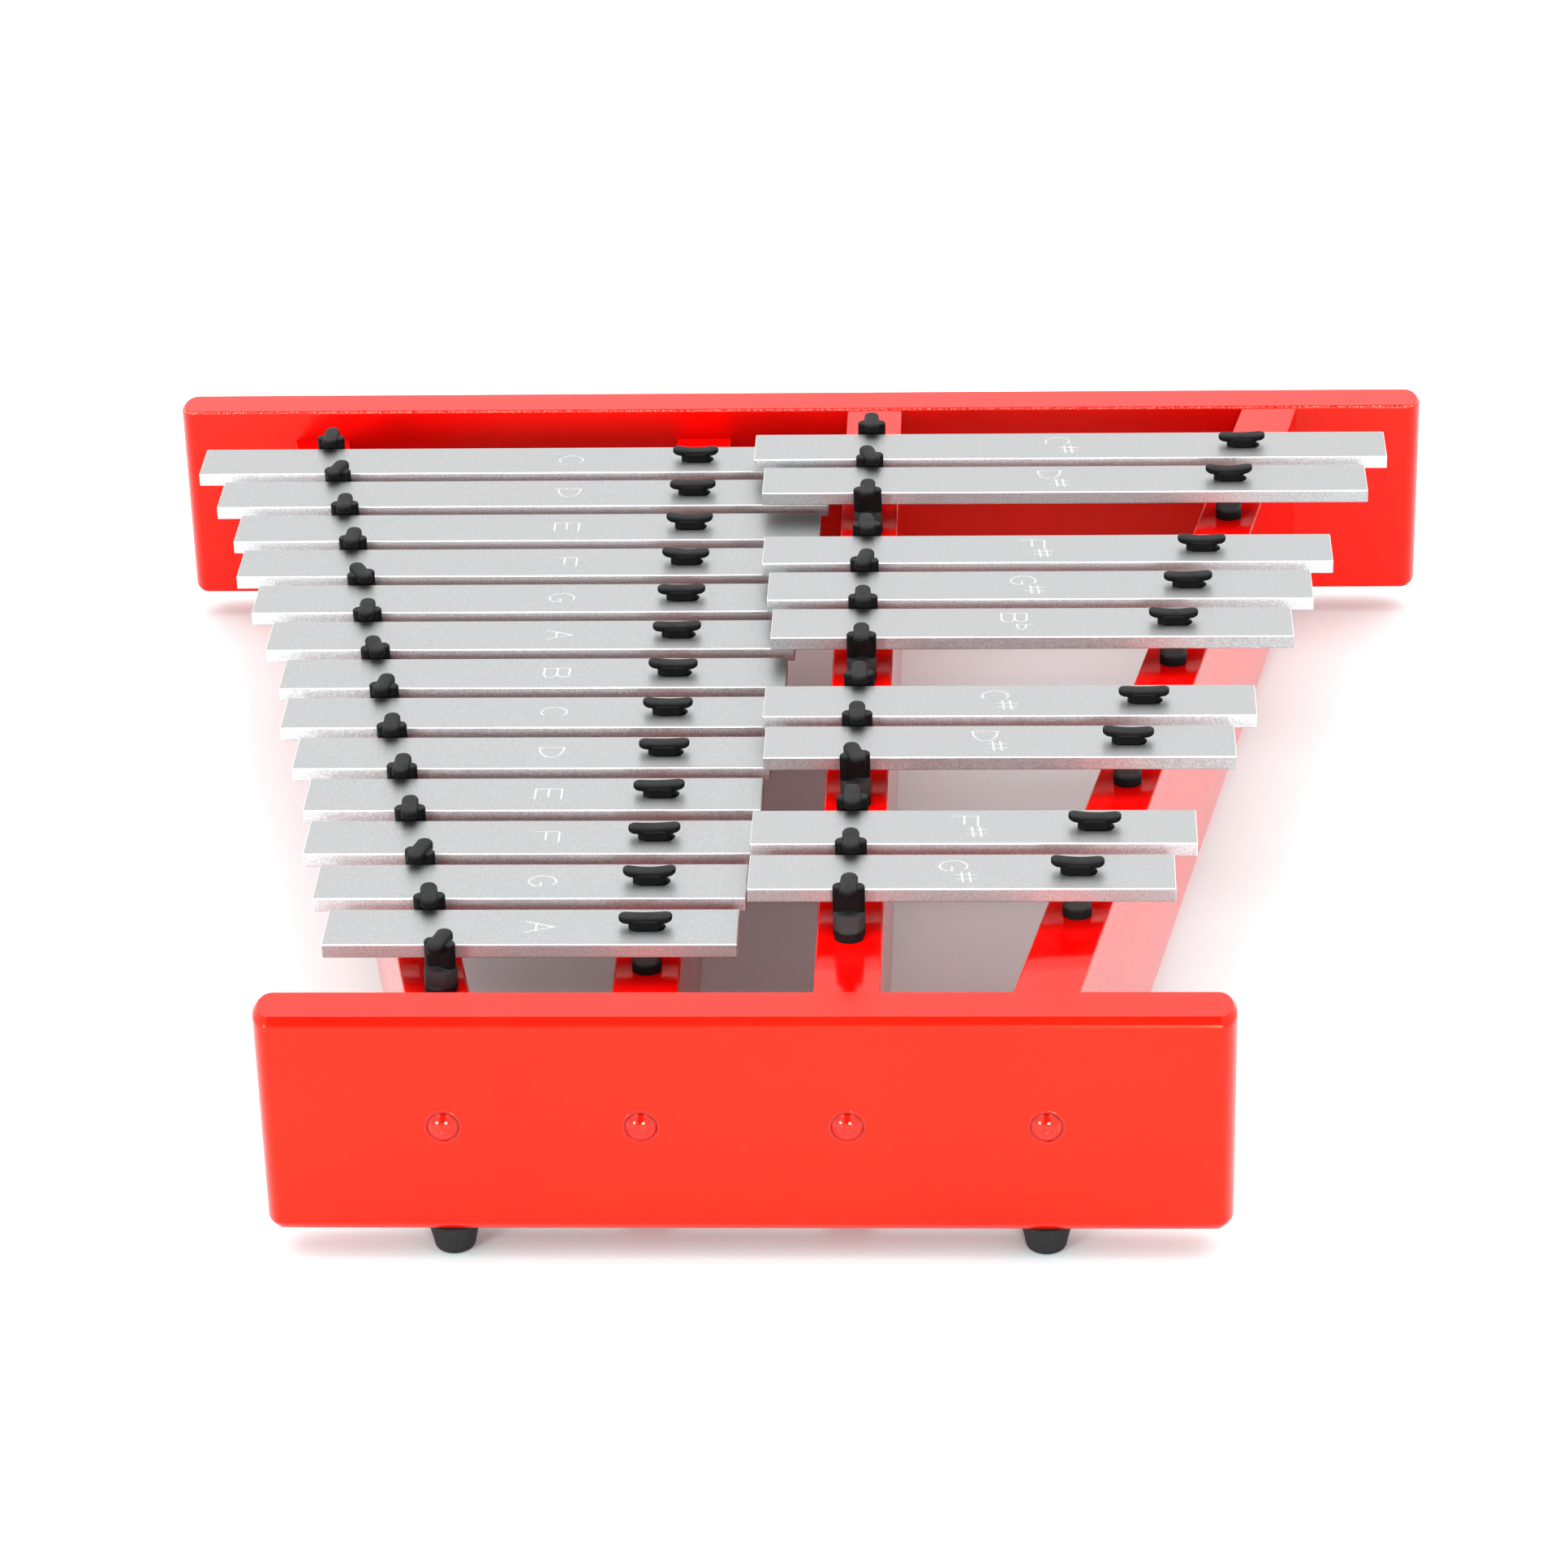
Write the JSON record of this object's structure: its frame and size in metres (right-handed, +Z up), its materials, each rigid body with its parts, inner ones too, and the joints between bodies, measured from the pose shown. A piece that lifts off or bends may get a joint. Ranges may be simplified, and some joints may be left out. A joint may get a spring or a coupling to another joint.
{
  "type": "chromatic table glockenspiel",
  "caption": "Small chromatic table glockenspiel: silver metal bars in two rows, held loosely by black rubber posts and pins on a red painted frame with rubber feet.",
  "frame": {"origin": "on the floor under the middle of the bounding box", "axes": "+Z up; +Y from the small end panel (high notes) to the large end panel (low notes); +X from the naturals' row to the sharps' row"},
  "size_m": [0.343, 0.3426, 0.0771],
  "materials": {
    "red_painted_wood": "glossy red paint over wood, worn lighter along the edges",
    "bar_aluminium": "satin, lightly grained, with stamped note names",
    "black_rubber": "matte black moulded rubber with fine grain",
    "foot_rubber": "matte black moulded rubber",
    "steel_fastener": "plain zinc-plated steel",
    "red_cap": "low domed cap painted with the panel"
  },
  "bodies": {
    "frame": {"large_end_panel": "red_painted_wood", "small_end_panel": "red_painted_wood", "natural_post_rail": "red_painted_wood", "natural_pin_rail": "red_painted_wood", "sharp_post_rail": "red_painted_wood", "sharp_pin_rail": "red_painted_wood", "natural_posts": "black_rubber", "natural_pins": "black_rubber", "sharp_posts": "black_rubber", "sharp_pins": "black_rubber", "foot_large_panel_left": "foot_rubber", "foot_large_panel_right": "foot_rubber", "foot_small_panel_left": "foot_rubber", "foot_small_panel_right": "foot_rubber", "large_panel_screw_caps": "red_cap", "small_panel_screw_caps": "red_cap", "large_panel_screws": "steel_fastener", "small_panel_screws": "steel_fastener", "foot_screws": "steel_fastener", "natural_post_nails": "steel_fastener", "natural_pin_nails": "steel_fastener", "sharp_post_nails": "steel_fastener", "sharp_pin_nails": "steel_fastener"},
    "bar_c5": {"bar_c5": "bar_aluminium"},
    "bar_d5": {"bar_d5": "bar_aluminium"},
    "bar_e5": {"bar_e5": "bar_aluminium"},
    "bar_f5": {"bar_f5": "bar_aluminium"},
    "bar_g5": {"bar_g5": "bar_aluminium"},
    "bar_a5": {"bar_a5": "bar_aluminium"},
    "bar_b5": {"bar_b5": "bar_aluminium"},
    "bar_c6": {"bar_c6": "bar_aluminium"},
    "bar_d6": {"bar_d6": "bar_aluminium"},
    "bar_e6": {"bar_e6": "bar_aluminium"},
    "bar_f6": {"bar_f6": "bar_aluminium"},
    "bar_g6": {"bar_g6": "bar_aluminium"},
    "bar_a6": {"bar_a6": "bar_aluminium"},
    "bar_c_sharp_5": {"bar_c_sharp_5": "bar_aluminium"},
    "bar_d_sharp_5": {"bar_d_sharp_5": "bar_aluminium"},
    "bar_f_sharp_5": {"bar_f_sharp_5": "bar_aluminium"},
    "bar_g_sharp_5": {"bar_g_sharp_5": "bar_aluminium"},
    "bar_b_flat_5": {"bar_b_flat_5": "bar_aluminium"},
    "bar_c_sharp_6": {"bar_c_sharp_6": "bar_aluminium"},
    "bar_d_sharp_6": {"bar_d_sharp_6": "bar_aluminium"},
    "bar_f_sharp_6": {"bar_f_sharp_6": "bar_aluminium"},
    "bar_g_sharp_6": {"bar_g_sharp_6": "bar_aluminium"}
  },
  "joints": [
    {"name": "bar_c5_play", "type": "slide", "parent": "frame", "child": "bar_c5", "axis": [0, 0, 1], "range_m": [0, 0.001]},
    {"name": "bar_d5_play", "type": "slide", "parent": "frame", "child": "bar_d5", "axis": [0, 0, 1], "range_m": [0, 0.001]},
    {"name": "bar_e5_play", "type": "slide", "parent": "frame", "child": "bar_e5", "axis": [0, 0, 1], "range_m": [0, 0.001]},
    {"name": "bar_f5_play", "type": "slide", "parent": "frame", "child": "bar_f5", "axis": [0, 0, 1], "range_m": [0, 0.001]},
    {"name": "bar_g5_play", "type": "slide", "parent": "frame", "child": "bar_g5", "axis": [0, 0, 1], "range_m": [0, 0.001]},
    {"name": "bar_a5_play", "type": "slide", "parent": "frame", "child": "bar_a5", "axis": [0, 0, 1], "range_m": [0, 0.001]},
    {"name": "bar_b5_play", "type": "slide", "parent": "frame", "child": "bar_b5", "axis": [0, 0, 1], "range_m": [0, 0.001]},
    {"name": "bar_c6_play", "type": "slide", "parent": "frame", "child": "bar_c6", "axis": [0, 0, 1], "range_m": [0, 0.001]},
    {"name": "bar_d6_play", "type": "slide", "parent": "frame", "child": "bar_d6", "axis": [0, 0, 1], "range_m": [0, 0.001]},
    {"name": "bar_e6_play", "type": "slide", "parent": "frame", "child": "bar_e6", "axis": [0, 0, 1], "range_m": [0, 0.001]},
    {"name": "bar_f6_play", "type": "slide", "parent": "frame", "child": "bar_f6", "axis": [0, 0, 1], "range_m": [0, 0.001]},
    {"name": "bar_g6_play", "type": "slide", "parent": "frame", "child": "bar_g6", "axis": [0, 0, 1], "range_m": [0, 0.001]},
    {"name": "bar_a6_play", "type": "slide", "parent": "frame", "child": "bar_a6", "axis": [0, 0, 1], "range_m": [0, 0.001]},
    {"name": "bar_c_sharp_5_play", "type": "slide", "parent": "frame", "child": "bar_c_sharp_5", "axis": [0, 0, 1], "range_m": [0, 0.001]},
    {"name": "bar_d_sharp_5_play", "type": "slide", "parent": "frame", "child": "bar_d_sharp_5", "axis": [0, 0, 1], "range_m": [0, 0.001]},
    {"name": "bar_f_sharp_5_play", "type": "slide", "parent": "frame", "child": "bar_f_sharp_5", "axis": [0, 0, 1], "range_m": [0, 0.001]},
    {"name": "bar_g_sharp_5_play", "type": "slide", "parent": "frame", "child": "bar_g_sharp_5", "axis": [0, 0, 1], "range_m": [0, 0.001]},
    {"name": "bar_b_flat_5_play", "type": "slide", "parent": "frame", "child": "bar_b_flat_5", "axis": [0, 0, 1], "range_m": [0, 0.001]},
    {"name": "bar_c_sharp_6_play", "type": "slide", "parent": "frame", "child": "bar_c_sharp_6", "axis": [0, 0, 1], "range_m": [0, 0.001]},
    {"name": "bar_d_sharp_6_play", "type": "slide", "parent": "frame", "child": "bar_d_sharp_6", "axis": [0, 0, 1], "range_m": [0, 0.001]},
    {"name": "bar_f_sharp_6_play", "type": "slide", "parent": "frame", "child": "bar_f_sharp_6", "axis": [0, 0, 1], "range_m": [0, 0.001]},
    {"name": "bar_g_sharp_6_play", "type": "slide", "parent": "frame", "child": "bar_g_sharp_6", "axis": [0, 0, 1], "range_m": [0, 0.001]}
  ]
}
